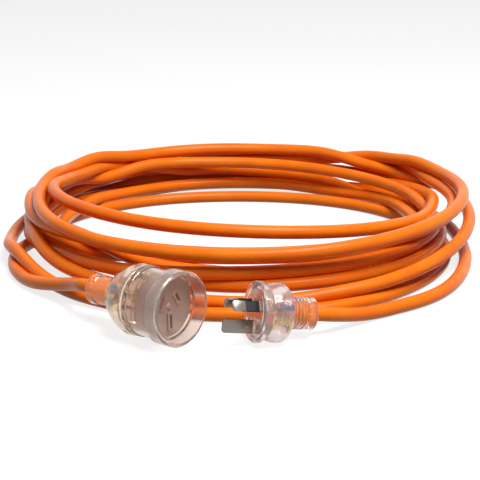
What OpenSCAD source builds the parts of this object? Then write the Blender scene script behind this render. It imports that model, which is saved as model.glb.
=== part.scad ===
// Extension cord: a heavy-duty lead with a clear moulded three-pin plug and a clear shrouded three-slot socket,
// laid down in a loose round coil. Millimetres, +Z up, the floor at z = 0, the connectors on the -Y side.
// Each connector is drawn along its own axis, from the end where its cord enters, and then laid in its place.

/* [Cord] */
// Outside diameter of the sheathed cord
cord_d = 9.2; // [8.2:0.1:9.8]
// Outside diameter of one insulated core
core_d = 2.9; // [2.4:0.1:3.1]
// Diameter of the bare strands of one core
strand_d = 1.7; // [1.3:0.1:2]

/* [Coil] */
// Outside radius of the heap of turns
coil_outer_r = 178; // [170:1:180]
// Inside radius of the heap of turns
coil_inner_r = 86; // [75:1:100]
// Height of the heap of turns
coil_h = 50; // [38:1:58]

/* [Blades] */
// Width of a blade
blade_w = 6.35; // [6:0.05:6.5]
// Thickness of a blade
blade_t = 1.63; // [1.5:0.01:1.8]
// How far the active and neutral blades stand out of the plug's face
blade_reach = 17.06; // [15:0.01:19]
// How far the earth blade stands out of the plug's face
earth_reach = 19.94; // [18:0.01:22]
// Distance of the active and neutral blades from the axis
blade_r = 7.92; // [7.6:0.01:8.2]
// Distance of the earth blade from the axis
earth_r = 9.35; // [9.2:0.01:10.4]
// Width of the earth blade
earth_w = 8.3; // [6.35:0.05:8.5]
// Length of the insulating sleeve outside the plug's face
sleeve_reach = 8.5; // [6:0.1:10]
// Wall of the sleeve on the blade's narrow sides
sleeve_wall = 0.35; // [0.25:0.01:0.45]

/* [Plug] */
// Length of the plug's body along its axis
plug_len = 39; // [38:0.5:44]
// Radius of the flange round the face
flange_r = 19; // [18:0.1:21]
// Thickness of the flange
flange_t = 3.6; // [3:0.1:4.4]
// Radius of the grip's bulge
grip_r = 18.5; // [17:0.1:18.8]
// Radius of the waist between grip and flange
waist_r = 17; // [16:0.1:17.4]
// Radius of the end ring where the cord comes out
plug_ring_r = 10.2; // [9:0.1:11]
// Radius of the ribs of the strain relief
rib_r = 10; // [9.2:0.1:10.5]
// Number of ribs
ribs = 4; // [3:1:4]

/* [Socket] */
// Length of the socket along its axis
socket_len = 75.5; // [73:0.5:80]
// Radius of the collar round the mouth
collar_r = 23.5; // [22.8:0.1:25]
// Length of the collar
collar_len = 11; // [9.5:0.1:12.5]
// Radius of the mouth that takes a plug's flange
mouth_r = 21; // [20:0.1:21.4]
// Depth of the mouth
mouth_depth = 9; // [7:0.1:9.4]
// Radius of the housing's straight barrel
barrel_r = 21.5; // [20.6:0.1:22]
// Radius of the bell at its widest
bell_r = 22.6; // [21.8:0.1:22.8]
// Length of the bell and its neck, up to the seam
bell_len = 45; // [43:0.5:47]
// Radius of the neck
neck_r = 9; // [8:0.05:9.2]
// Radius of the end ring where the cord comes out
socket_ring_r = 9.8; // [9.3:0.05:10.5]

/* [Fits] */
// Gap between a moulding and what is moulded into it
mould_gap = 0.05; // [0.02:0.01:0.1]
// Clearance of a slot round the blade that goes into it
slot_gap = 0.3; // [0.2:0.05:0.4]

/* [Hidden] */
$fn = 64;

eps = 0.5;                     // how far a cut runs past the face it opens
cord_r = cord_d / 2;
core_r = core_d / 2;
strand_r = strand_d / 2;

// The three ways round the axis, seen from in front of the face: [turn from the top, distance, turn of the blade, its width]
ACTIVE = [60, blade_r, 0, blade_w];
NEUTRAL = [-60, blade_r, 0, blade_w];
EARTH = [180, earth_r, 90, earth_w];
WAYS = [ACTIVE, NEUTRAL, EARTH];

// Crimps and the cores behind them
crimp_r = 1.9;
crimp_len = 6;
strip_len = 2;                 // bare strands between the insulation and the crimp
core_spread = 1.9;             // distance of a core from the axis where it leaves the sheath
core_straight = 2;             // straight start and end of a core

// Levels along the plug, from the end where the cord enters
plug_ring_len = 6;
rib_zone_end = 16.5;
plug_sheath_len = 13;
grip_z = plug_len - 15;        // where the bulge begins
grip_end_z = plug_len - 11.5;
waist_z = plug_len - 6.8;
flange_z = plug_len - flange_t;
bridge_cover = 1;              // skin of the body over the pin bridge
bridge_t = 6;
bridge_r = 14;
bridge_z = plug_len - bridge_cover - bridge_t;
plug_chamber_r = 12.6;

// Levels along the socket, from the end where the cord enters
socket_ring_len = 7;
neck_end = bell_len - 26;
socket_sheath_len = neck_end + 1;
face_z = socket_len - mouth_depth;
collar_z = socket_len - collar_len;
bell_z = bell_len - 5;         // where the bell is widest
face_t = 8;
barrel_wall = 2.5;
insert_r = barrel_r - barrel_wall;  // radius of the face and of the contact housing
surround_h = 1.2;
surround_wall = 1.6;
face_sink = 0.5;               // the slot surrounds stop this far behind the mouth's floor
face_plain_z = face_z - face_sink - surround_h;
housing_end = face_plain_z - face_t;
housing_len = 16;
housing_z = housing_end - housing_len;  // the housing bridges the seam
socket_chamber_r = 13;
seam_ring_r = barrel_r + 0.6;    // raised ring beside the seam
groove_floor_r = barrel_r - 0.9;
contact_z = housing_z + 7;     // back of the contact leaves
leaf_t = 0.7;
leaf_side = 0.15;               // how far a contact leaf stands past the blade on each side
leaf_squeeze = 0.2;            // how much closer than a blade's thickness the leaves stand
rim_round = 1;                 // bevel round the collar's mouth

// The plug lies on its grip, held nose-up by the stiff cord; the socket lies on its bell and its collar
plug_tilt = 9;
plug_turn = 200;
plug_roll = 9;
plug_end = [44.6, -173.5, grip_r * cos(plug_tilt) - grip_z * sin(plug_tilt)];
socket_tilt = atan((collar_r - bell_r) / (collar_z - bell_z));
socket_turn = -41;
socket_roll = 0;
socket_end = [-91.8, -143.3, collar_r * cos(socket_tilt) - collar_z * sin(socket_tilt)];

function heading(turn, tilt) = [cos(tilt) * cos(turn), cos(tilt) * sin(turn), sin(tilt)];
plug_way = heading(plug_turn, plug_tilt);
socket_way = heading(socket_turn, socket_tilt);

// The origin is under the middle of the whole object
coil_at = [0, 33];
front_y = socket_end[1] + (socket_len - rim_round) * socket_way[1] - collar_r * sqrt(1 - pow(socket_way[1], 2));
back_y = coil_at[1] + coil_outer_r;
middle_y = (front_y + back_y) / 2;

// Routes of the two leads, from the connector to where they run in under the turns
exit_len = 11;
SOCKET_ROUTE = [
    socket_end, socket_end - exit_len * socket_way,
    [-108, -121, 16.5], [-120, -105, 12], [-132, -91, 8.5], [-142, -77, 6], [-149, -64, 5], [-155, -50, 5],
    [-160, -35, 5], [-163, -20, 5], [-164, -5, 5]
];
PLUG_ROUTE = [
    plug_end, plug_end - exit_len * plug_way,
    [66, -161, 9.5], [78, -149, 6], [92, -138, 5], [107, -128, 5], [126, -112, 5], [142, -88, 5],
    [153, -62, 5], [160, -36, 5], [164, -10, 5]
];

// ---- helpers ----

// A profile of [radius, level] points turned round the axis
module turned(points) rotate_extrude() polygon(points);

// Children drawn along +Z are laid along the connector, with their +Y at the top, or leaning from it by the roll
module lay(end, turn, tilt, roll)
    translate([0, -middle_y, 0]) translate(end) rotate([0, 90 - tilt, turn]) rotate([0, 0, 90 + roll]) children();

module in_plug() lay(plug_end, plug_turn, plug_tilt, plug_roll) children();

module in_socket() lay(socket_end, socket_turn, socket_tilt, socket_roll) children();

// Children go to one of the three ways round the axis, with +X along the blade's width
module at_way(way) rotate([0, 0, way[0]]) translate([0, way[1], 0]) rotate([0, 0, way[2]]) children();

module bar(w, t, z0, z1) translate([-w / 2, -t / 2, z0]) cube([w, t, z1 - z0]);

// A blade with cropped corners and a bevelled tip
module blade(w, t, z0, z1, crop = 1.1, bevel = 0.45) {
    intersection() {
        rotate([90, 0, 0]) linear_extrude(t, center = true)
            polygon([[-w / 2, z0], [w / 2, z0], [w / 2, z1 - crop], [w / 2 - crop, z1], [crop - w / 2, z1],
                     [-w / 2, z1 - crop]]);
        rotate([90, 0, 90]) linear_extrude(w, center = true)
            polygon([[-t / 2, z0], [t / 2, z0], [t / 2, z1 - 3 * bevel], [t / 2 - bevel, z1], [bevel - t / 2, z1],
                     [-t / 2, z1 - 3 * bevel]]);
    }
}

// The barrel that is crimped round a core's strands
module crimp(z0) {
    difference() {
        translate([0, 0, z0]) cylinder(r = crimp_r, h = crimp_len);
        translate([0, 0, z0 - eps]) cylinder(r = strand_r + mould_gap, h = crimp_len - 1 + eps);
    }
}

// A round rod through the points; the ball at each corner is a hair fuller than the rod, so that their faces cross
module rod(points, r) {
    for (i = [1 : len(points) - 1]) {
        step = points[i] - points[i - 1];
        translate(points[i - 1])
            rotate([0, acos(step[2] / norm(step)), atan2(step[1], step[0])]) cylinder(r = r, h = norm(step));
        if (i < len(points) - 1) translate(points[i]) sphere(r = 1.01 * r);
    }
}

// An insulated core: out of the sheath at z0, spread to its way, and up to its strip at z1
module core(way, z0, z1) {
    rotate([0, 0, way[0]])
        rod([[0, core_spread, z0], [0, core_spread, z0 + core_straight],
             [0, way[1], z1 - core_straight], [0, way[1], z1]], core_r);
}

// Bare strands of all three cores, one rod each, from the insulation into the crimps
module strands(z0) {
    for (way = WAYS) at_way(way) translate([0, 0, z0]) cylinder(r = strand_r, h = strip_len + crimp_len - 1.5);
}

// ---- the cord ----

function unit(v) = v / norm(v);

// A point at part t between p1 and p2 of a smooth curve through four points
function between(p0, p1, p2, p3, t) =
    0.5 * (2 * p1 + (p2 - p0) * t + (2 * p0 - 5 * p1 + 4 * p2 - p3) * t * t
           + (3 * p1 - p0 - 3 * p2 + p3) * t * t * t);

function smooth(route) = [
    for (i = [0 : len(route) - 2], t = [0, 0.5])
        between(route[max(i - 1, 0)], route[i], route[i + 1], route[min(i + 2, len(route) - 1)], t),
    route[len(route) - 1]
];

// One closed tube swept along a route; its first end is square to the route's first leg
module tube(route, r, sides = 12) {
    path = smooth(route);
    n = len(path);
    rings = [
        for (i = [0 : n - 1])
            let (way = i == 0 ? unit(route[1] - route[0]) : unit(path[min(i + 1, n - 1)] - path[i - 1]),
                 side = unit(cross([0, 0, 1], way)),
                 up = cross(way, side))
                for (k = [0 : sides - 1])
                    path[i] + r * (cos(360 * k / sides) * side + sin(360 * k / sides) * up)
    ];
    walls = [
        for (i = [0 : n - 2], k = [0 : sides - 1])
            let (next = (k + 1) % sides)
                [i * sides + k, (i + 1) * sides + k, (i + 1) * sides + next, i * sides + next]
    ];
    polyhedron(rings, concat(walls, [[for (k = [0 : sides - 1]) k],
                                     [for (k = [sides - 1 : -1 : 0]) (n - 1) * sides + k]]));
}

// The heap of turns: a flat underside, steep flanks and a rounded top
module cord_coil() {
    mid = (coil_outer_r + coil_inner_r) / 2;
    half = (coil_outer_r - coil_inner_r) / 2;
    steps = 12;
    flank = 0.55;
    color("darkorange") translate([coil_at[0], coil_at[1] - middle_y, 0])
        turned([for (i = [0 : steps]) let (a = 180 * i / steps)
                [mid + half * sign(cos(a)) * pow(abs(cos(a)), flank), coil_h * pow(sin(a), flank)]]);
}

module plug_lead() color("orange") translate([0, -middle_y, 0]) tube(PLUG_ROUTE, cord_r);

module socket_lead() color("orange") translate([0, -middle_y, 0]) tube(SOCKET_ROUTE, cord_r);

// ---- the plug ----

// Half-outline of the ribbed strain relief: ribs and grooves of equal width
rib_pitch = (rib_zone_end - plug_ring_len) / (ribs + 0.5);
groove_r = rib_r - 1.6;
RIB_OUTLINE = [
    for (i = [0 : ribs - 1]) let (z = plug_ring_len + i * rib_pitch)
        each [[groove_r, z + 0.05 * rib_pitch], [groove_r, z + 0.5 * rib_pitch],
              [rib_r, z + 0.6 * rib_pitch], [rib_r, z + 0.95 * rib_pitch]]
];

// Quarter arc of the shoulder, from the strain relief out to the grip
SHOULDER = [
    for (a = [0 : 15 : 75])
        [groove_r + (grip_r - groove_r) * sin(a), grip_z - (grip_z - rib_zone_end) * cos(a)]
];

module plug_outline() {
    turned(concat(
        [[0, 0], [plug_ring_r - 0.8, 0], [plug_ring_r, 0.8], [plug_ring_r, plug_ring_len - 0.8],
         [plug_ring_r - 0.8, plug_ring_len]],
        RIB_OUTLINE, SHOULDER,
        [[grip_r, grip_z], [grip_r, grip_end_z], [waist_r, waist_z], [waist_r + 0.2, flange_z - 1],
         [flange_r - 0.6, flange_z], [flange_r, flange_z + 0.6], [flange_r, plug_len - 0.8],
         [flange_r - 0.8, plug_len], [0, plug_len]]
    ));
}

module plug_body() {
    color("gainsboro") in_plug() difference() {
        plug_outline();
        // the cord's bore, and the room where its cores spread out
        translate([0, 0, -eps]) cylinder(r = cord_r + mould_gap, h = plug_sheath_len + eps + mould_gap);
        turned([[0, plug_sheath_len], [cord_r + mould_gap, plug_sheath_len],
                [plug_chamber_r, plug_sheath_len + 6.5], [plug_chamber_r, bridge_z + eps], [0, bridge_z + eps]]);
        translate([0, 0, bridge_z]) cylinder(r = bridge_r + mould_gap, h = bridge_t + mould_gap);
        for (way = WAYS)
            at_way(way) bar(way[3] + 2 * mould_gap, blade_t + 2 * mould_gap, bridge_z, plug_len + eps);
    }
}

// The disc that holds the three blades in their places
module plug_pin_bridge() {
    color("whitesmoke") in_plug() difference() {
        translate([0, 0, bridge_z]) cylinder(r = bridge_r, h = bridge_t);
        for (way = WAYS)
            at_way(way) bar(way[3] + 2 * mould_gap, blade_t + 2 * mould_gap, bridge_z - eps, plug_len + eps);
    }
}

// An active or neutral blade: full section in the bridge and at the tip, and a thinner neck under the sleeve
module sleeved_pin(way) {
    neck_w = blade_w - 2 * sleeve_wall;
    neck_t = blade_t - 2 * sleeve_wall;
    neck_z = plug_len - bridge_cover;
    color("silver") in_plug() at_way(way) {
        crimp(bridge_z - crimp_len);
        bar(blade_w, blade_t, bridge_z, neck_z);
        bar(neck_w, neck_t, neck_z, plug_len + sleeve_reach);
        blade(blade_w, blade_t, plug_len + sleeve_reach, plug_len + blade_reach);
    }
}

module plug_active_pin() sleeved_pin(ACTIVE);

module plug_neutral_pin() sleeved_pin(NEUTRAL);

module plug_earth_pin() {
    color("silver") in_plug() at_way(EARTH) {
        crimp(bridge_z - crimp_len);
        blade(earth_w, blade_t, bridge_z, plug_len + earth_reach);
    }
}

// The black sleeve that covers the root of a live blade
module pin_sleeve(way) {
    color("dimgray") in_plug() at_way(way) difference() {
        bar(blade_w, blade_t, plug_len - bridge_cover, plug_len + sleeve_reach);
        bar(blade_w - 2 * sleeve_wall, blade_t - 2 * sleeve_wall, plug_len - bridge_cover - eps,
            plug_len + sleeve_reach + eps);
    }
}

module plug_active_sleeve() pin_sleeve(ACTIVE);

module plug_neutral_sleeve() pin_sleeve(NEUTRAL);

module plug_core(way) in_plug() core(way, plug_sheath_len, bridge_z - crimp_len - strip_len);

module plug_active_core() color("saddlebrown") plug_core(ACTIVE);

module plug_neutral_core() color("royalblue") plug_core(NEUTRAL);

module plug_earth_core() color("yellowgreen") plug_core(EARTH);

module plug_core_strands() color("peru") in_plug() strands(bridge_z - crimp_len - strip_len);

module plug_sheath_end() color("darkorange") in_plug() cylinder(r = cord_r, h = plug_sheath_len);

// ---- the socket ----

// Quarter arc of the bell, from the neck out to its widest
BELL_ARC = [
    for (a = [0 : 10 : 90])
        [neck_r + (bell_r - neck_r) * pow(sin(a), 1.5), bell_z - (bell_z - neck_end) * pow(cos(a), 1.5)]
];

// The soft rear moulding: end ring, neck and bell
module socket_bell() {
    color("gainsboro") in_socket() difference() {
        turned(concat(
            [[0, 0], [socket_ring_r - 0.8, 0], [socket_ring_r, 0.8], [socket_ring_r, socket_ring_len - 0.8],
             [socket_ring_r - 0.8, socket_ring_len], [neck_r, socket_ring_len + 0.4]],
            BELL_ARC,
            [[bell_r - 0.4, bell_len - 0.5], [bell_r - 1, bell_len], [0, bell_len]]
        ));
        translate([0, 0, -eps]) cylinder(r = cord_r + mould_gap, h = socket_sheath_len + eps + mould_gap);
        turned([[0, socket_sheath_len], [cord_r + mould_gap, socket_sheath_len],
                [socket_chamber_r, socket_sheath_len + 8], [socket_chamber_r, bell_len + eps],
                [0, bell_len + eps]]);
        translate([0, 0, housing_z]) cylinder(r = insert_r + mould_gap, h = housing_len);
    }
}

// The rigid front moulding: a grooved seam, the barrel, and the collar round the mouth
module socket_shroud() {
    color("lightgray") in_socket() difference() {
        turned([
            [0, bell_len], [groove_floor_r, bell_len], [groove_floor_r, bell_len + 1.1],
            [seam_ring_r, bell_len + 1.6], [seam_ring_r, bell_len + 3.2], [seam_ring_r - 0.4, bell_len + 3.6],
            [groove_floor_r + 0.4, bell_len + 3.9], [groove_floor_r + 0.4, bell_len + 4.5], [barrel_r, bell_len + 5],
            [barrel_r, collar_z - 0.8],
            [collar_r - 0.8, collar_z], [collar_r, collar_z + 0.8], [collar_r, socket_len - rim_round],
            [collar_r - rim_round, socket_len], [0, socket_len]
        ]);
        translate([0, 0, bell_len - eps]) cylinder(r = insert_r + mould_gap, h = face_z - bell_len + 2 * eps);
        translate([0, 0, face_z]) cylinder(r = mouth_r, h = mouth_depth + eps);
    }
}

// The face in the mouth, with a raised surround at each slot and a small dome in the middle
module socket_face() {
    color("gray") in_socket() difference() {
        union() {
            translate([0, 0, housing_end]) cylinder(r = insert_r, h = face_t);
            for (way = WAYS)
                at_way(way) bar(way[3] + 2 * surround_wall, blade_t + 2 * surround_wall, face_plain_z - 1,
                                face_plain_z + surround_h);
            translate([0, 0, face_plain_z]) cylinder(r1 = 2.4, r2 = 1.6, h = surround_h);
        }
        for (way = WAYS)
            at_way(way) bar(way[3] + 2 * slot_gap, blade_t + 2 * slot_gap, housing_end - eps,
                            face_z + eps);
    }
}

pocket_gap = 0.2;
leaf_out = (blade_t - leaf_squeeze) / 2 + leaf_t;  // outer face of a contact leaf
pocket_t = 2 * (leaf_out + 0.6);

// The block behind the face, with a pocket for each contact
module socket_housing() {
    color("dimgray") in_socket() difference() {
        translate([0, 0, housing_z]) cylinder(r = insert_r, h = housing_len);
        for (way = WAYS) at_way(way) {
            bar(way[3] + 2 * (leaf_side + pocket_gap), pocket_t, contact_z - mould_gap, housing_end + eps);
            translate([0, 0, housing_z - eps])
                cylinder(r = crimp_r + mould_gap, h = contact_z - housing_z + 2 * eps);
        }
    }
}

// A folded contact: two leaves on a web, with flared mouths, and its crimp behind
module contact(way) {
    tip = housing_end - 0.4;
    leaf_in = leaf_out - leaf_t;
    leaf_w = way[3] + 2 * leaf_side;
    flare = 0.5;
    color("goldenrod") in_socket() at_way(way) {
        crimp(contact_z - crimp_len);
        bar(leaf_w, 2 * leaf_out, contact_z, contact_z + leaf_t);
        for (side = [-1, 1])
            rotate([90, 0, 90]) linear_extrude(leaf_w, center = true)
                polygon([[side * leaf_in, contact_z], [side * leaf_out, contact_z], [side * leaf_out, tip - 2],
                         [side * (leaf_out + flare), tip], [side * (leaf_in + flare), tip],
                         [side * leaf_in, tip - 2]]);
    }
}

module socket_active_contact() contact(ACTIVE);

module socket_neutral_contact() contact(NEUTRAL);

module socket_earth_contact() contact(EARTH);

module socket_core(way) in_socket() core(way, socket_sheath_len, contact_z - crimp_len - strip_len);

module socket_active_core() color("saddlebrown") socket_core(ACTIVE);

module socket_neutral_core() color("royalblue") socket_core(NEUTRAL);

module socket_earth_core() color("yellowgreen") socket_core(EARTH);

module socket_core_strands() color("peru") in_socket() strands(contact_z - crimp_len - strip_len);

module socket_sheath_end() color("darkorange") in_socket() cylinder(r = cord_r, h = socket_sheath_len);

cord_coil();
plug_lead();
socket_lead();
plug_body();
plug_pin_bridge();
plug_active_pin();
plug_neutral_pin();
plug_earth_pin();
plug_active_sleeve();
plug_neutral_sleeve();
plug_active_core();
plug_neutral_core();
plug_earth_core();
plug_core_strands();
plug_sheath_end();
socket_bell();
socket_shroud();
socket_face();
socket_housing();
socket_active_contact();
socket_neutral_contact();
socket_earth_contact();
socket_active_core();
socket_neutral_core();
socket_earth_core();
socket_core_strands();
socket_sheath_end();
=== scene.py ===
# %% [markdown]
# # An extension cord in Blender
# The object is a coiled orange lead with a clear moulded plug on one end and a clear moulded
# socket on the other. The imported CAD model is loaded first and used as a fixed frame: the rigid
# pieces keep its shapes and get their finishes here, and the long soft cord is laid here.

# %% Load the frame
import math
import bpy
import numpy as np
from mathutils import Euler, Matrix


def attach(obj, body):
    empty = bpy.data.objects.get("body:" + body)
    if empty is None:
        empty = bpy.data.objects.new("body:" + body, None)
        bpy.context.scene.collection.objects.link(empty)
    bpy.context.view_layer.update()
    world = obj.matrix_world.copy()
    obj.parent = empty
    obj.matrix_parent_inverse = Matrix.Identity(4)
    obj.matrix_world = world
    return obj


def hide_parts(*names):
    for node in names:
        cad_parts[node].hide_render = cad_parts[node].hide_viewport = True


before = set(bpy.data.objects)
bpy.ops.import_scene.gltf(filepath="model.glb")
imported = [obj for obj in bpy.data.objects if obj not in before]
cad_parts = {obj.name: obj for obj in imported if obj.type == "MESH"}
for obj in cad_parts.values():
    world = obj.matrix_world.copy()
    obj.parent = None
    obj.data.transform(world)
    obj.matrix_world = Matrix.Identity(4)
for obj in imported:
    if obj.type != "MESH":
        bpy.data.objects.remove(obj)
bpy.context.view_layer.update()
scene = bpy.context.scene
scene.view_settings.view_transform = "Standard"

# %% [markdown]
# ## Camera
# A coil on the floor is best seen through a long lens from a low stand: the loops read as flat
# ellipses, and the two fittings in front stay large. A camera is an object with a lens and a
# place, so it is made with the camera operator and turned about X alone: no roll, no pan.

# %% Camera
CAMERA_PLACE = (0, -0.9885, 0.300)
LOOKS_DOWN = 16.3                            # degrees below level

bpy.ops.object.select_all(action="DESELECT")
bpy.ops.object.camera_add(location=CAMERA_PLACE, rotation=(math.radians(90 - LOOKS_DOWN), 0, 0))
camera = bpy.context.object
camera.name = "camera"
camera.data.lens = 105
camera.data.sensor_width = 36
scene.camera = camera
print("camera at", CAMERA_PLACE, "looks down by", LOOKS_DOWN, "degrees")

# %% [markdown]
# ## The cord's route
# A flexible lead keeps its length and its thickness, whatever shape it lies in, so it is drawn as
# one line and swept by one round section. A turn that is dropped by hand lands as a rough circle
# a little off the coil's middle, and leans where it lies on others. So each turn is a reach, a
# shift of its middle and four heights, in millimetres and in steps of five, and a loop works out
# where it passes on the left, at the back, on the right and in front. A smooth curve through
# those places gives the loose, crossing turns of a lead that was wound by hand.

# %% Turns of the coil
SHEATH = 0.0092                              # the sheath's diameter
COIL_MIDDLE = (0.0, 0.03244)
TURNS = [  # reach, shift to the right, shift to the back, heights at the left, back, right and front
    (150, 0, -30, 5, 5, 5, 5),
    (160, -10, 0, 10, 10, 15, 20),
    (135, 0, 15, 15, 10, 15, 25),
    (160, 5, -5, 20, 30, 45, 40),
    (160, 10, -10, 40, 40, 30, 10),
    (150, -5, 25, 25, 20, 30, 45),
    (140, 0, 15, 45, 20, 5, 15),
    (155, 5, 10, 35, 35, 35, 35),
    (150, -5, -10, 35, 30, 25, 25),
    (160, 5, 5, 15, 5, 5, 5),
]
print("turns:", len(TURNS) - 0.5)            # the last one ends on the right, in the plug's lead

# %% [markdown]
# Between the coil and each fitting the cord runs through listed points, which are the same as in
# the CAD model. It leaves a fitting straight, along the fitting's own line. The plug lies on its
# grip, and the stiff cord holds its nose up. The socket lies on its bell and its collar, and the
# collar is the wider one, so it is tilted a little.

# %% The two leads and the ways the fittings point
SOCKET_EXIT = (-0.0918, -0.14386, 0.02112)
PLUG_EXIT = (0.0446, -0.17406, 0.01452)
SOCKET_LEAD = [(-0.108, -0.12156, 0.0165), (-0.120, -0.10556, 0.012), (-0.132, -0.09156, 0.0085),
               (-0.142, -0.07756, 0.006), (-0.149, -0.06456, 0.005), (-0.155, -0.05056, 0.005),
               (-0.160, -0.03556, 0.005), (-0.163, -0.02056, 0.005), (-0.164, -0.00556, 0.005)]
PLUG_LEAD = [(0.066, -0.16156, 0.0095), (0.078, -0.14956, 0.006), (0.092, -0.13856, 0.005),
             (0.107, -0.12856, 0.005), (0.126, -0.11256, 0.005), (0.142, -0.08856, 0.005),
             (0.153, -0.06256, 0.005), (0.160, -0.03656, 0.005), (0.164, -0.01056, 0.005)]
PLUG_TURN, PLUG_TILT, PLUG_ROLL = 200, 9, 9  # degrees: in plan, upwards, and about its own line
SOCKET_TURN, SOCKET_ROLL = -41, 0
COLLAR_STEP, COLLAR_RUN = 0.9, 24.5          # mm: how far past the bell, outwards and along
SOCKET_TILT = math.degrees(math.atan(COLLAR_STEP / COLLAR_RUN))


def away(turn, tilt):
    """The way a fitting points, turned in plan and tilted up, in degrees."""
    turn, tilt = math.radians(turn), math.radians(tilt)
    return np.array([math.cos(tilt) * math.cos(turn), math.cos(tilt) * math.sin(turn), math.sin(tilt)])


SOCKET_WAY = away(SOCKET_TURN, SOCKET_TILT)
PLUG_WAY = away(PLUG_TURN, PLUG_TILT)
print("points on the leads:", len(SOCKET_LEAD), "and", len(PLUG_LEAD))

# %% [markdown]
# A Catmull-Rom curve passes through its points and needs no handles, so a turn can be set by the
# places that it passes. It is used twice: once on the reach and height round the coil, and once on
# the whole line, leads and turns together.

# %% A smooth line through the places
def smooth(points, steps):
    """A Catmull-Rom curve through the points."""
    points = np.asarray(points, float)
    line = []
    for i in range(len(points) - 1):
        a, b, c, d = (points[min(max(i + k, 0), len(points) - 1)] for k in (-1, 0, 1, 2))
        for t in np.arange(steps) / steps:
            line.append(0.5 * (2 * b + (c - a) * t + (2 * a - 5 * b + 4 * c - d) * t * t
                               + (3 * b - a - 3 * c + d) * t ** 3))
    return np.array(line + [points[-1]])


def spread(line, step):
    """The same line with its points one step apart."""
    along = np.r_[0, np.cumsum(np.linalg.norm(np.diff(line, axis=0), axis=1))]
    marks = np.linspace(0, along[-1], int(round(along[-1] / step)) + 1)
    return np.stack([np.interp(marks, along, line[:, k]) for k in range(3)], axis=1)


MM = 1000.0                                  # millimetres in a metre
STEPS = 6                                    # points of a smooth curve from one place to the next
STRAIGHT = 0.011                             # how far the cord runs straight out of a fitting
POINT_GAP = 0.006                            # from one point of the finished line to the next

passes = []
for reach, right, back, *heights in TURNS:
    passes += [(reach + shift, height) for shift, height in zip((-right, back, right, -back), heights)]
rings = smooth(passes[:-1], STEPS) / MM      # the last turn has no place in front
angle = np.radians(180 - 90 / STEPS * np.arange(len(rings)))     # clockwise, from the left
coil = np.stack([COIL_MIDDLE[0] + rings[:, 0] * np.cos(angle),
                 COIL_MIDDLE[1] + rings[:, 0] * np.sin(angle), rings[:, 1]], axis=1)
socket_end = np.array(SOCKET_EXIT)
plug_end = np.array(PLUG_EXIT)
places = np.vstack([[socket_end, socket_end - STRAIGHT * SOCKET_WAY], SOCKET_LEAD, coil,
                    PLUG_LEAD[::-1], [plug_end - STRAIGHT * PLUG_WAY, plug_end]])
route = spread(smooth(places, STEPS), POINT_GAP)
print("points on the line", len(route))

# %% [markdown]
# ## Settling the turns
# Turns of a real coil rest on each other and never pass through each other. A few hundred small
# steps do the same here: strands that are closer than one thickness push each other apart, the
# line is smoothed so that it bends like a stiff flex, a little weight pulls it down, and the floor
# holds it up. It is worked out with arrays, and comes out the same each time.

# %% Settle the cord
ROUNDS = 400
GAP = 1.01 * SHEATH                          # closest that two strands lie, middle to middle
MARGIN = 0.006                               # pairs are listed from this much further apart
RELIST = 8                                   # rounds from one list of near pairs to the next
SAME_STRAND = 8                              # points nearer than this along the line never push
IN_SOCKET, IN_PLUG = 5, 6                    # points that stay straight in the fittings
WEIGHT = 0.005e-3                            # how far a free point sinks in a round, in metres
PULL = 0.005                                 # share of the way back to its first place
STIFF = 0.6                                  # share of the way to a smooth bend


def settle(line, held):
    """Push touching strands apart, keep the line smooth, and let it sink onto what is below."""
    home = line.copy()
    free = (~held)[:, None]
    for count in range(ROUNDS):
        if count % RELIST == 0:
            square = (line ** 2).sum(1)
            near = square[:, None] + square[None] - 2 * line @ line.T < (GAP + MARGIN) ** 2
            one, two = np.nonzero(np.triu(near, SAME_STRAND))
        apart = line[two] - line[one]
        length = np.sqrt((apart ** 2).sum(1)) + 1e-9
        close = length < GAP
        push = (GAP - length[close])[:, None] * 0.5 * apart[close] / length[close][:, None]
        move = np.zeros_like(line)
        hits = np.zeros(len(line))
        for ends, shift in ((one[close], -push), (two[close], push)):
            np.add.at(move, ends, shift)
            np.add.at(hits, ends, 1)
        line = line + free * move / np.maximum(hits, 1)[:, None] ** 0.5
        bend = np.zeros_like(line)
        bend[2:-2] = (4 * (line[1:-3] + line[3:-1]) - line[:-4] - line[4:]) / 6 - line[2:-2]
        line = line + free * (STIFF * bend + PULL * (home - line) - [0, 0, WEIGHT])
        line[:, 2] = np.where(held, line[:, 2], np.maximum(line[:, 2], SHEATH / 2))
    return line


held = np.zeros(len(route), bool)
held[:IN_SOCKET] = True
held[-IN_PLUG:] = True
route = settle(route, held)
cord_length = float(np.linalg.norm(np.diff(route, axis=0), axis=1).sum())
print("cord length", round(cord_length, 2), "m, top at", round(float(route[:, 2].max()) * MM, 1), "mm")

# %% [markdown]
# ## The cord's body
# The sheath is a round tube. A curve with a bevel depth is the plainest way to sweep one, and
# converting it to a mesh keeps a UV map that runs along and round the cord, which the fine scuffs
# of the material can follow.

# %% Sweep the sheath
curve = bpy.data.curves.new("cord", "CURVE")
curve.dimensions = "3D"
curve.bevel_depth = SHEATH / 2
curve.bevel_resolution = 6
curve.use_fill_caps = True
strand = curve.splines.new("POLY")
strand.points.add(len(route) - 1)
strand.points.foreach_set("co", np.c_[route, np.ones(len(route))].ravel())
strand.use_smooth = True
cord = bpy.data.objects.new("cord", curve)
scene.collection.objects.link(cord)
bpy.ops.object.select_all(action="DESELECT")
cord.select_set(True)
bpy.context.view_layer.objects.active = cord
bpy.ops.object.convert(target="MESH")
print("cord faces", len(cord.data.polygons), "UV maps", [layer.name for layer in cord.data.uv_layers])

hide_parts("cord_coil", "plug_lead", "socket_lead")
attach(cord, "root")

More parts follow.
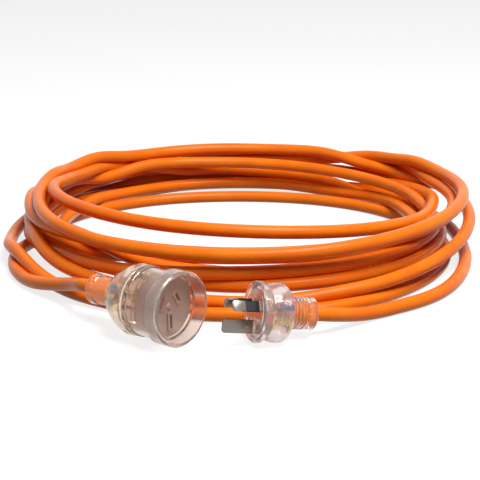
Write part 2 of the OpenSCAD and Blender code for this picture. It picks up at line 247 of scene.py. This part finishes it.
# %% [markdown]
# ## Materials
# Each finish is a small node tree. One function adds a node with its settings and its inputs, and
# one turns a hex colour into the linear numbers that the shader works in. Patterns are sized from
# real marks: a noise scale of 1000 / n gives features of about n millimetres, as the pieces are
# measured in metres.

# %% Helpers for materials
TONES = {"data_type": "RGBA"}                # makes a Mix node mix colours
SHARE, TONE_A, TONE_B = 0, 6, 7              # its inputs for that, by number: their names repeat
MIXED = 2                                    # its output for that


def colour(hex_code):
    """An sRGB hex colour as linear RGBA, by the curve of the sRGB standard."""
    parts = [int(hex_code[i:i + 2], 16) / 255 for i in (0, 2, 4)]
    return [p / 12.92 if p <= 0.04045 else ((p + 0.055) / 1.055) ** 2.4 for p in parts] + [1.0]


def add(tree, kind, settings=None, inputs=None):
    """Add one node: its settings by name, its inputs by name or number, as values or as links."""
    new = tree.nodes.new(kind)
    for name, value in (settings or {}).items():
        setattr(new, name, value)
    for name, value in (inputs or {}).items():
        if isinstance(value, bpy.types.NodeSocket):
            tree.links.new(value, new.inputs[name])
        else:
            new.inputs[name].default_value = value
    return new


def material(name):
    """An empty material with its output node."""
    made = bpy.data.materials.new(name)
    made.use_nodes = True
    made.node_tree.nodes.clear()
    return made, made.node_tree, made.node_tree.nodes.new("ShaderNodeOutputMaterial")


def dress(names, finish):
    """Give CAD nodes a finish; their shapes stay as they are."""
    for name in names:
        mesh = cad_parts[name].data
        mesh.materials.clear()
        mesh.materials.append(finish)


print("mid grey in linear light", [round(v, 3) for v in colour("808080")])

# %% [markdown]
# ### Coordinates of a fitting
# Scratches on a blade run along it and wires twist round their own line, so the patterns of the
# plug and the socket are laid in each fitting's own frame: its cord end is the origin, Z runs
# along it and Y is its top. A mapping node of the texture kind undoes the fitting's turn.

# %% Frames of the two fittings
def turn_of(turn, tilt, roll):
    """The rotation that lays a fitting: turned in plan, tilted up, rolled about its own line."""
    lay = Euler((0, math.radians(90 - tilt), math.radians(turn))).to_matrix()
    return (lay @ Matrix.Rotation(math.radians(90 + roll), 3, "Z")).to_euler()


FITTINGS = {"plug": (PLUG_EXIT, turn_of(PLUG_TURN, PLUG_TILT, PLUG_ROLL)),
            "socket": (SOCKET_EXIT, turn_of(SOCKET_TURN, SOCKET_TILT, SOCKET_ROLL))}


def along(tree, fitting, stretch=(1, 1, 1)):
    """Object coordinates in the fitting's own frame; a stretch above 1 draws the pattern out."""
    end, turned = FITTINGS[fitting]
    object_place = add(tree, "ShaderNodeTexCoord").outputs["Object"]
    return add(tree, "ShaderNodeMapping", {"vector_type": "TEXTURE"},
               {"Vector": object_place, "Location": end, "Rotation": turned, "Scale": stretch}).outputs[0]


for fitting, (_, turned) in FITTINGS.items():
    print(fitting, "turned by", [round(math.degrees(v), 1) for v in turned], "degrees")

# %% [markdown]
# ### Orange PVC
# The sheath is soft PVC drawn through a round die. The die leaves faint lines along the cord,
# about 0.8 mm apart and a few centimetres long, which break the highlight into a soft streak;
# handling leaves slightly duller patches a few centimetres across. The lines use the cord's own
# UV, scaled by its real length and girth, so they follow every bend; the patches are laid in the
# cord's object coordinates.

# %% Orange PVC of the cord
LINE_LONG, LINE_APART, PATCH = 30, 0.8, 25   # mm: the die's lines and the handled patches

orange_pvc, tree, out = material("orange PVC")
uv = add(tree, "ShaderNodeUVMap", {"uv_map": cord.data.uv_layers[0].name})
marks = (cord_length * MM / LINE_LONG, math.pi * SHEATH * MM / LINE_APART, 1)
die = add(tree, "ShaderNodeMapping", inputs={"Vector": uv.outputs[0], "Scale": marks})
lines = add(tree, "ShaderNodeTexNoise", inputs={"Vector": die.outputs[0], "Scale": 1.0, "Detail": 3.0})
place = add(tree, "ShaderNodeTexCoord").outputs["Object"]
worn = add(tree, "ShaderNodeTexNoise", inputs={"Vector": place, "Scale": MM / PATCH, "Detail": 4.0})
tone = add(tree, "ShaderNodeMix", TONES,     # the pigment is a little uneven
           {SHARE: worn.outputs[0], TONE_A: colour("F28213"), TONE_B: colour("DE5D09")})
dull = add(tree, "ShaderNodeMapRange", inputs={"Value": worn.outputs[0], "To Min": 0.22, "To Max": 0.36})
ridge = add(tree, "ShaderNodeBump",
            inputs={"Height": lines.outputs[0], "Distance": 0.03 / MM, "Strength": 0.5})
shader = add(tree, "ShaderNodeBsdfPrincipled", inputs={
    "Base Color": tone.outputs[MIXED], "Roughness": dull.outputs[0], "IOR": 1.53,
    "Specular IOR Level": 0.14, "Normal": ridge.outputs[0]})
tree.links.new(shader.outputs[0], out.inputs[0])
cord.data.materials.clear()
cord.data.materials.append(orange_pvc)
print("die lines on the UV map", cord.data.uv_layers[0].name)

# %% [markdown]
# The last centimetres of the sheath are bonded into each moulding. Where clear plastic has melted
# onto a surface there is no air between them; with even a hair of air the wall of the bore would
# mirror instead. Each end is therefore a copy grown by 0.12 mm, so that it touches the clear wall.
# There is no air at its surface, so it has no gloss of its own. Its orange is painted lighter and
# yellower than the cord's: painted light, for the lamp light that the clear moulding keeps off it.
# It has no UV map, so its grain uses the plug's frame.

# %% Sheath ends, bonded in
def own_copy(name):
    """A merged copy of a CAD piece that takes its place; it is left in edit mode with all selected."""
    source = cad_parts[name]
    copy = source.copy()
    copy.data = source.data.copy()
    copy.name = name + "_shown"
    scene.collection.objects.link(copy)
    bpy.ops.object.select_all(action="DESELECT")
    copy.select_set(True)
    bpy.context.view_layer.objects.active = copy
    bpy.ops.object.mode_set(mode="EDIT")
    bpy.ops.mesh.select_all(action="SELECT")
    bpy.ops.mesh.remove_doubles(threshold=0.00001)
    bpy.ops.mesh.normals_make_consistent(inside=False)
    copy.data.materials.clear()
    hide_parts(name)
    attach(copy, "root")
    return copy


bonded_pvc_painted_lit, tree, out = material("bonded orange PVC, painted lighter")
grain = add(tree, "ShaderNodeTexNoise",
            inputs={"Vector": along(tree, "plug", (1, 1, 20)), "Scale": MM / LINE_APART, "Detail": 3.0})
# painted light: these tones are lighter and yellower than the cord's, standing in for lamp light that the
# clear moulding keeps off the end
tone = add(tree, "ShaderNodeMix", TONES,
           {SHARE: grain.outputs[0], TONE_A: colour("FB9416"), TONE_B: colour("F07808")})
shader = add(tree, "ShaderNodeBsdfPrincipled", inputs={
    "Base Color": tone.outputs[MIXED], "Roughness": 0.5, "IOR": 1.53, "Specular IOR Level": 0.0})
tree.links.new(shader.outputs[0], out.inputs[0])
for name in ["plug_sheath_end", "socket_sheath_end"]:
    end_piece = own_copy(name)
    bpy.ops.transform.shrink_fatten(value=0.12 / MM)
    bpy.ops.object.mode_set(mode="OBJECT")
    bpy.ops.object.shade_smooth_by_angle(angle=math.radians(35))
    end_piece.data.materials.append(bonded_pvc_painted_lit)
    print(end_piece.name, [round(v * MM, 1) for v in end_piece.dimensions])

# %% [markdown]
# ### Clear mouldings
# The plug's body and the socket's bell are clear flexible PVC, run hot over the cord. It has a
# warm tint that deepens with thickness, a gloss that is broken by slow waves where the melt
# shrank (6 to 7 mm apart), and a few cloudy streaks round the shape.

# %% Clear PVC
def clear_plastic(name, fitting, tints, through, gloss, wave_mm, wave_depth, cloud_mm, etched=None):
    """A clear plastic: tint and gloss vary in clouds, and slow waves bend what is seen through it.
    etched is a milky skin: the mm along the fitting where it starts, its clearness, its roughness."""
    made, tree, out = material(name)
    place = along(tree, fitting)
    clouds = add(tree, "ShaderNodeTexNoise",
                 inputs={"Vector": place, "Scale": MM / cloud_mm, "Detail": 3.0}).outputs[0]
    waves = add(tree, "ShaderNodeTexNoise",
                inputs={"Vector": place, "Scale": MM / wave_mm, "Detail": 1.0}).outputs[0]
    tint = add(tree, "ShaderNodeMix", TONES,
               {SHARE: clouds, TONE_A: colour(tints[0]), TONE_B: colour(tints[1])})
    dull = add(tree, "ShaderNodeMapRange",
               inputs={"Value": clouds, "From Min": 0.35, "From Max": 0.65,
                       "To Min": gloss[0], "To Max": gloss[1]}).outputs[0]
    clearness = through
    if etched:
        start, skin_clearness, skin_roughness = etched
        level = add(tree, "ShaderNodeSeparateXYZ", inputs={0: place}).outputs["Z"]
        span = {"Value": level, "From Min": start / MM, "From Max": (start + 1) / MM}
        clearness = add(tree, "ShaderNodeMapRange",
                        inputs={**span, "To Min": through, "To Max": skin_clearness}).outputs[0]
        skin = add(tree, "ShaderNodeMapRange",
                   inputs={**span, "To Min": 0.0, "To Max": skin_roughness}).outputs[0]
        dull = add(tree, "ShaderNodeMath", {"operation": "ADD"}, {0: dull, 1: skin}).outputs[0]
    bend = add(tree, "ShaderNodeBump",
               inputs={"Height": waves, "Distance": wave_depth / MM, "Strength": 1.0})
    shader = add(tree, "ShaderNodeBsdfPrincipled", inputs={
        "Base Color": tint.outputs[MIXED], "Roughness": dull, "IOR": 1.53,
        "Transmission Weight": clearness, "Normal": bend.outputs[0]})
    tree.links.new(shader.outputs[0], out.inputs[0])
    print(name, "waves of", wave_mm, "mm, clouds of", cloud_mm, "mm")
    return made


dress(["plug_body"], clear_plastic(
    "clear PVC of the plug", "plug", ("F8ECE8", "EFDDD6"), through=0.94, gloss=(0.08, 0.15),
    wave_mm=6, wave_depth=0.1, cloud_mm=12))
dress(["socket_bell"], clear_plastic(
    "clear PVC of the bell", "socket", ("F5E8D6", "EAD4BC"), through=0.94, gloss=(0.07, 0.15),
    wave_mm=7, wave_depth=0.15, cloud_mm=14))

# %% [markdown]
# The socket's shroud is a separate, harder moulding. Its barrel is clear and shows the block and
# the contacts behind it, and its collar has a finely etched skin that looks milky. The disc that
# holds the blades, the socket's face and the block behind it are polycarbonate too, each with a
# tint of its own.

# %% Etched, clear and smoked polycarbonate
COLLAR_START = 64                            # mm along the socket

dress(["socket_shroud"], clear_plastic(
    "etched polycarbonate", "socket", ("F0E0D6", "E0CDC2"), through=1.0, gloss=(0.02, 0.06),
    wave_mm=1.5, wave_depth=0.01, cloud_mm=10, etched=(COLLAR_START, 0.88, 0.1)))
dress(["plug_pin_bridge"], clear_plastic(
    "clear polycarbonate", "plug", ("F0E2D8", "E6D0C0"), through=0.95, gloss=(0.05, 0.12),
    wave_mm=4, wave_depth=0.1, cloud_mm=8))
dress(["socket_face"], clear_plastic(
    "smoked polycarbonate", "socket", ("E4CCC0", "D2B4A6"), through=0.6, gloss=(0.08, 0.16),
    wave_mm=3, wave_depth=0.05, cloud_mm=7))
dress(["socket_housing"], clear_plastic(
    "smoked polycarbonate of the block", "socket", ("E6DAC4", "D4C4A6"), through=1.0,
    gloss=(0.01, 0.04), wave_mm=4, wave_depth=0.02, cloud_mm=9))

# %% [markdown]
# ### Metals
# The blades are brass strip with a nickel plating that takes fine scratches along the blade each
# time it is pushed home. The contacts are bare rolled brass, and the strands are twisted copper
# wires about 0.2 mm thick.

# %% Metals
def drawn_metal(name, fitting, tints, rough, line_mm, depth, stretch):
    """A metal with fine lines along the fitting."""
    made, tree, out = material(name)
    place = along(tree, fitting, (1, 1, stretch))
    lines = add(tree, "ShaderNodeTexNoise",
                inputs={"Vector": place, "Scale": MM / line_mm, "Detail": 3.0}).outputs[0]
    tint = add(tree, "ShaderNodeMix", TONES,
               {SHARE: lines, TONE_A: colour(tints[0]), TONE_B: colour(tints[1])})
    worn = add(tree, "ShaderNodeMapRange", inputs={"Value": lines, "To Min": rough[0], "To Max": rough[1]})
    cut = add(tree, "ShaderNodeBump", inputs={"Height": lines, "Distance": depth / MM, "Strength": 0.6})
    shader = add(tree, "ShaderNodeBsdfPrincipled", inputs={
        "Base Color": tint.outputs[MIXED], "Metallic": 1.0, "Roughness": worn.outputs[0],
        "Normal": cut.outputs[0]})
    tree.links.new(shader.outputs[0], out.inputs[0])
    print(name, "lines", line_mm, "mm wide and", line_mm * stretch, "mm long")
    return made


nickel = drawn_metal("nickel plated brass", "plug", ("8C837A", "6E665E"), rough=(0.22, 0.38),
                     line_mm=0.15, depth=0.01, stretch=30)
brass = drawn_metal("contact brass", "socket", ("FFDA5C", "F4C442"), rough=(0.25, 0.4),
                    line_mm=0.2, depth=0.01, stretch=20)
dress(["socket_active_contact", "socket_neutral_contact", "socket_earth_contact"], brass)
for fitting in FITTINGS:
    copper = drawn_metal("copper of the " + fitting + "'s strands", fitting, ("D08A62", "9A5836"),
                         rough=(0.25, 0.4), line_mm=0.2, depth=0.08, stretch=25)
    dress([fitting + "_core_strands"], copper)

# %% [markdown]
# Blades are tumbled before they are plated, which rounds their edges by a fifth of a millimetre; a
# rounded edge catches a thin bright line that a sharp one can't. The corners of the tip are rounded
# much more, so that the blade finds its slot. A merged copy with its flat faces joined to single
# ones takes both: first a wide bevel on the short edges across the blade at its tip, which are
# found by their direction and place, and then a narrow one on every edge that is still sharp.

# %% Eased edges of the blades
EASED = 0.0002                               # width of an eased edge
TIP_ROUND = 0.0008                           # width of a rounded corner of the tip
TIP_REACH = 0.0025                           # an edge this close to the end belongs to the tip


def eased(name, finish):
    """A copy of a blade with its sharp edges eased and the corners of its tip rounded."""
    piece = own_copy(name)
    bpy.ops.mesh.dissolve_limited(angle_limit=math.radians(1))
    bpy.ops.mesh.select_mode(type="EDGE")
    bpy.ops.mesh.select_all(action="DESELECT")
    bpy.ops.object.mode_set(mode="OBJECT")
    broad = max(piece.data.polygons, key=lambda face: face.area).normal.copy()
    place = [vertex.co.dot(PLUG_WAY) for vertex in piece.data.vertices]
    for edge in piece.data.edges:
        a, b = edge.vertices
        across = (piece.data.vertices[a].co - piece.data.vertices[b].co).normalized()
        edge.select = (abs(across.dot(broad)) > 0.95
                       and min(place[a], place[b]) > max(place) - TIP_REACH)
    print(name, sum(edge.select for edge in piece.data.edges), "edges across the tip")
    bpy.ops.object.mode_set(mode="EDIT")
    bpy.ops.mesh.bevel(offset=TIP_ROUND, segments=3, affect="EDGES", clamp_overlap=True)
    bpy.ops.mesh.select_all(action="DESELECT")
    bpy.ops.mesh.edges_select_sharp(sharpness=math.radians(40))
    bpy.ops.mesh.bevel(offset=EASED, segments=2, affect="EDGES", clamp_overlap=True)
    bpy.ops.object.mode_set(mode="OBJECT")
    bpy.ops.object.shade_smooth_by_angle(angle=math.radians(50))
    piece.data.materials.append(finish)
    print(name, len(piece.data.polygons), "faces")


for name in ["plug_active_pin", "plug_neutral_pin", "plug_earth_pin"]:
    eased(name, nickel)

# %% [markdown]
# ### Sleeves
# The live blades are half covered by black sleeves. They are nylon moulded in a spark-eroded tool,
# which leaves a fine texture, so the black scatters a little light instead of mirroring it.

# %% Nylon sleeves
SPARK = 0.3                                  # mm, the grain of the tool

sleeve_nylon, tree, out = material("black nylon")
spark = add(tree, "ShaderNodeTexNoise",
            inputs={"Vector": along(tree, "plug"), "Scale": MM / SPARK, "Detail": 2.0}).outputs[0]
tint = add(tree, "ShaderNodeMix", TONES,
           {SHARE: spark, TONE_A: colour("08080A"), TONE_B: colour("1A1A1D")})
pits = add(tree, "ShaderNodeBump", inputs={"Height": spark, "Distance": 0.03 / MM, "Strength": 0.6})
shader = add(tree, "ShaderNodeBsdfPrincipled", inputs={
    "Base Color": tint.outputs[MIXED], "Roughness": 0.5, "IOR": 1.53, "Specular IOR Level": 0.2,
    "Normal": pits.outputs[0]})
tree.links.new(shader.outputs[0], out.inputs[0])
dress(["plug_active_sleeve", "plug_neutral_sleeve"], sleeve_nylon)
print("sleeve texture", SPARK, "mm")

# %% [markdown]
# ### Cores
# Each core's insulation is drawn PVC with a faint grain along it, and carries its colour code:
# brown, blue, and for earth a green and a yellow half that run lengthwise, one on each side of the
# fitting's middle. Where a stripe falls is a matter of place, so it comes from a coordinate that is
# compared with zero.

# %% Core insulation
CORE_GRAIN = 0.5                             # mm


def core_pvc(name, fitting, tints, striped):
    """Insulation with drawn grain along it, in one colour or in two lengthwise stripes."""
    made, tree, out = material(name)
    place = along(tree, fitting, (1, 1, 15))
    share = add(tree, "ShaderNodeTexNoise",
                inputs={"Vector": place, "Scale": MM / CORE_GRAIN, "Detail": 2.0}).outputs[0]
    if striped:
        side = add(tree, "ShaderNodeSeparateXYZ", inputs={0: along(tree, fitting)}).outputs["X"]
        share = add(tree, "ShaderNodeMath", {"operation": "GREATER_THAN"}, {0: side, 1: 0.0}).outputs[0]
    tint = add(tree, "ShaderNodeMix", TONES,
               {SHARE: share, TONE_A: colour(tints[0]), TONE_B: colour(tints[1])})
    shader = add(tree, "ShaderNodeBsdfPrincipled",
                 inputs={"Base Color": tint.outputs[MIXED], "Roughness": 0.38, "IOR": 1.53})
    tree.links.new(shader.outputs[0], out.inputs[0])
    print(name, "striped" if striped else "plain")
    return made


CODE = {"active": ("brown PVC", ("4A2412", "5C3018")),
        "neutral": ("blue PVC", ("1C3B8E", "2A4FA8")),
        "earth": ("green and yellow PVC", ("2F8A2C", "E8D21E"))}
for fitting in FITTINGS:
    for core, (name, tints) in CODE.items():
        finish = core_pvc(name + ", " + fitting, fitting, tints, core == "earth")
        dress([fitting + "_" + core + "_core"], finish)

# %% [markdown]
# ## Floor and light
# The floor is plain and pale. It keeps the coil's shadow because only a part of its brightness is
# paint, which shadows darken, and the rest is a glow. The glow is there for the camera and in
# what metal and clear plastic show of the floor, but it sheds no light on the object. The sky
# does the same: it is white to look at and dim as a lamp.

# %% Floor
def rays_that_look(tree):
    """1 for rays from the camera and for mirrored and refracted ones, 0 for those that light things."""
    rays = add(tree, "ShaderNodeLightPath").outputs
    seen = rays["Is Camera Ray"]
    for kind in ("Is Glossy Ray", "Is Transmission Ray"):
        seen = add(tree, "ShaderNodeMath", {"operation": "MAXIMUM"}, {0: seen, 1: rays[kind]}).outputs[0]
    return seen


GLOW, PAINT = 0.8, 0.3                       # how bright the floor glows and how pale its paint is

bpy.ops.object.select_all(action="DESELECT")
bpy.ops.mesh.primitive_plane_add(size=12, location=(0, 0, 0))
floor = bpy.context.object
floor.name = "floor"
floor_paint, tree, out = material("floor paint")
lift = add(tree, "ShaderNodeMath", {"operation": "MULTIPLY"}, {0: rays_that_look(tree), 1: GLOW})
paint = add(tree, "ShaderNodeBsdfDiffuse", inputs={"Color": (PAINT, PAINT, PAINT, 1)})
glow = add(tree, "ShaderNodeEmission", inputs={"Color": (1, 1, 1, 1), "Strength": lift.outputs[0]})
both = add(tree, "ShaderNodeAddShader", inputs={0: paint.outputs[0], 1: glow.outputs[0]})
tree.links.new(both.outputs[0], out.inputs[0])
floor.data.materials.append(floor_paint)
print("floor", [round(v, 1) for v in floor.dimensions[:2]], "m")

# %% Sky
DIM = 0.07                                   # the sky's strength as a lamp

world = bpy.data.worlds.new("studio")
scene.world = world
world.use_nodes = True
world.node_tree.nodes.clear()
tree = world.node_tree
level = add(tree, "ShaderNodeMapRange",
            inputs={"Value": rays_that_look(tree), "To Min": DIM, "To Max": 1.0})
sky = add(tree, "ShaderNodeBackground", inputs={"Color": (1, 1, 1, 1), "Strength": level.outputs[0]})
add(tree, "ShaderNodeOutputWorld", inputs={"Surface": sky.outputs[0]})
print("sky nodes", len(tree.nodes))

# %% [markdown]
# One large soft box stands high in front, a little to the right, which is the main light and gives
# the cord its long soft highlight. A weak one at the left keeps the shadow side from going dull.

# %% Lamps
def lamp(name, place, size, power):
    """A square soft box at a place, turned to the middle of the floor."""
    bpy.ops.object.select_all(action="DESELECT")
    bpy.ops.object.light_add(type="AREA", location=place)
    made = bpy.context.object
    made.name = name
    made.data.size = size
    made.data.energy = power
    look = -np.array(place)
    tilt = math.acos(-look[2] / np.linalg.norm(look))
    made.rotation_euler = (tilt, 0, math.atan2(look[0], -look[1]) + math.pi)
    print(name, "lamp of", power, "W at", place)


lamp("key", (0.4, -0.5, 1.3), 0.8, 30)
lamp("fill", (-1.0, -0.6, 0.9), 0.9, 1.5)
